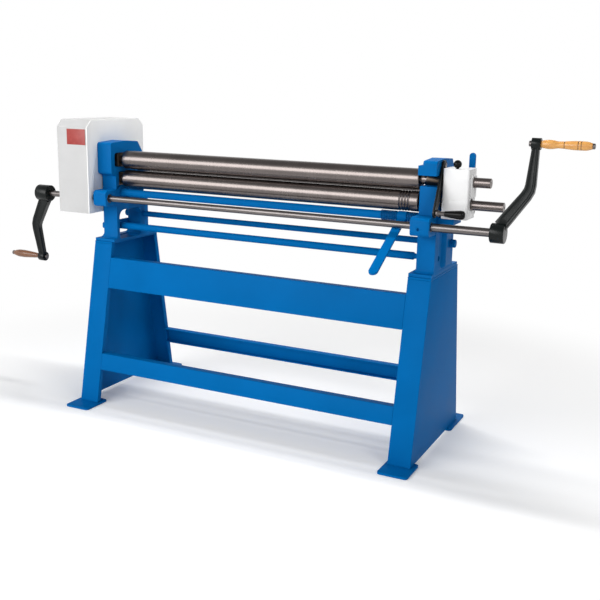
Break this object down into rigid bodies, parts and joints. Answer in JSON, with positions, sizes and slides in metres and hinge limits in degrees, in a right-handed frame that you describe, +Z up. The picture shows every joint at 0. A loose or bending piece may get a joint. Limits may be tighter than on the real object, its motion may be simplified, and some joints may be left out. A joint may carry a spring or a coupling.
{
  "type": "plate rolling machine",
  "caption": "Hand-cranked slip roll: two geared pinch rolls and a swinging rear bending roll between cast end frames on a folded blue stand.",
  "frame": {"origin": "middle of the machine's bounding box, on the floor", "axes": "+X along the rolls to the operator's right, +Y to the back, +Z up"},
  "size_m": [2.4942, 0.729, 1.1841],
  "materials": {
    "blue_paint": "gloss",
    "white_paint": "satin",
    "red_plate": "satin",
    "ground_steel": "ground",
    "gear_steel": "oiled",
    "bearing_bronze": "machined",
    "black_iron": "painted black",
    "black_plastic": "gloss",
    "handle_wood": "varnished",
    "painted_spring": "gloss"
  },
  "bodies": {
    "machine_frame": {"left_leg": "blue_paint", "right_leg": "blue_paint", "left_top_plate": "blue_paint", "right_top_plate": "blue_paint", "left_front_foot": "blue_paint", "left_rear_foot": "blue_paint", "right_front_foot": "blue_paint", "right_rear_foot": "blue_paint", "upper_front_beam": "blue_paint", "lower_front_beam": "blue_paint", "lower_rear_beam": "blue_paint", "left_end_frame": "blue_paint", "right_end_frame": "blue_paint", "left_shaft_bush": "bearing_bronze", "right_shaft_bush": "bearing_bronze", "top_roll_bush": "bearing_bronze", "top_roll_block": "bearing_bronze", "rear_tie_rod": "blue_paint", "lower_tie_rod": "blue_paint", "tie_rod_strap": "blue_paint", "idler_stud": "ground_steel", "gear_cover": "white_paint", "gear_case_back": "white_paint", "cover_blank_plate": "red_plate", "bearing_housing": "white_paint", "housing_end_plate": "white_paint", "housing_bracket": "blue_paint", "lock_pin": "ground_steel"},
    "top_roll_body": {"top_roll": "ground_steel", "main_gear": "gear_steel", "top_roll_gear": "gear_steel"},
    "drive": {"drive_shaft": "ground_steel", "drive_pinion": "gear_steel", "right_crank_arm": "black_iron", "left_crank_arm": "black_iron", "right_spindle": "ground_steel", "left_spindle": "ground_steel"},
    "right_grip_body": {"right_grip": "handle_wood"},
    "left_grip_body": {"left_grip": "handle_wood"},
    "idler": {"idler_gear": "gear_steel"},
    "lower_carriage": {"lower_left_block": "bearing_bronze", "lower_right_block": "bearing_bronze"},
    "lower_roll_body": {"lower_roll": "ground_steel", "lower_roll_gear": "gear_steel"},
    "clamp": {"clamp_shaft": "blue_paint", "clamp_lever": "blue_paint", "left_clamp_spring": "painted_spring", "right_clamp_spring": "painted_spring"},
    "rear_swing": {"left_swing_arm": "blue_paint", "right_swing_arm": "blue_paint", "rear_pivot_shaft": "ground_steel", "rear_lever": "blue_paint"},
    "rear_roll_body": {"rear_roll": "ground_steel"},
    "lock": {"lock_arm": "black_iron", "lock_rod": "ground_steel", "lock_grip": "black_plastic"},
    "plunger": {"index_plunger": "black_plastic"}
  },
  "joints": [
    {"name": "top_roll_spin", "type": "hinge", "parent": "machine_frame", "child": "top_roll_body", "pos_m": [-0.0035, -0.06552, 1.0215], "axis": [1, 0, 0], "continuous": true},
    {"name": "drive_spin", "type": "hinge", "parent": "machine_frame", "child": "drive", "pos_m": [-0.0035, -0.16702, 0.868], "axis": [1, 0, 0], "continuous": true},
    {"name": "idler_spin", "type": "hinge", "parent": "machine_frame", "child": "idler", "pos_m": [-0.7935, -0.10104, 0.8696], "axis": [1, 0, 0], "continuous": true},
    {"name": "lower_roll_lift", "type": "slide", "parent": "machine_frame", "child": "lower_carriage", "axis": [0, 0, 1], "range_m": [0, 0.004]},
    {"name": "lower_roll_spin", "type": "hinge", "parent": "lower_carriage", "child": "lower_roll_body", "pos_m": [-0.0035, -0.06552, 0.942], "axis": [1, 0, 0], "continuous": true},
    {"name": "clamp_lever_turn", "type": "hinge", "parent": "machine_frame", "child": "clamp", "pos_m": [-0.0035, -0.07352, 0.884], "axis": [1, 0, 0], "range_deg": [0, 40.26], "stiffness_Nm_per_rad": 2, "springref_deg": -57.3},
    {"name": "rear_roll_swing", "type": "hinge", "parent": "machine_frame", "child": "rear_swing", "pos_m": [-0.0035, 0.07948, 0.904], "axis": [1, 0, 0], "range_deg": [-35, 15]},
    {"name": "rear_roll_spin", "type": "hinge", "parent": "rear_swing", "child": "rear_roll_body", "pos_m": [-0.0035, 0.02048, 0.941], "axis": [1, 0, 0], "continuous": true},
    {"name": "right_grip_turn", "type": "hinge", "parent": "drive", "child": "right_grip_body", "pos_m": [1.0765, -0.08316, 1.16436], "axis": [1, 0, 0], "continuous": true},
    {"name": "left_grip_turn", "type": "hinge", "parent": "drive", "child": "left_grip_body", "pos_m": [-1.0835, -0.10444, 0.57358], "axis": [1, 0, 0], "continuous": true},
    {"name": "lock_lever_turn", "type": "hinge", "parent": "machine_frame", "child": "lock", "pos_m": [0.7465, -0.08052, 1.075], "axis": [1, 0, 0], "range_deg": [-90, 0]},
    {"name": "plunger_pull", "type": "slide", "parent": "machine_frame", "child": "plunger", "axis": [0, 0, 1], "range_m": [0, 0.008], "stiffness_N_per_m": 400, "springref_m": -0.005}
  ],
  "couplings": [
    {"joint": "drive_spin", "follows": "top_roll_spin", "ratio": 4},
    {"joint": "idler_spin", "follows": "top_roll_spin", "ratio": -3.3333},
    {"joint": "lower_roll_spin", "follows": "top_roll_spin", "ratio": -1},
    {"joint": "clamp_lever_turn", "follows": "lower_roll_lift", "rad_per_m": 175.44}
  ]
}
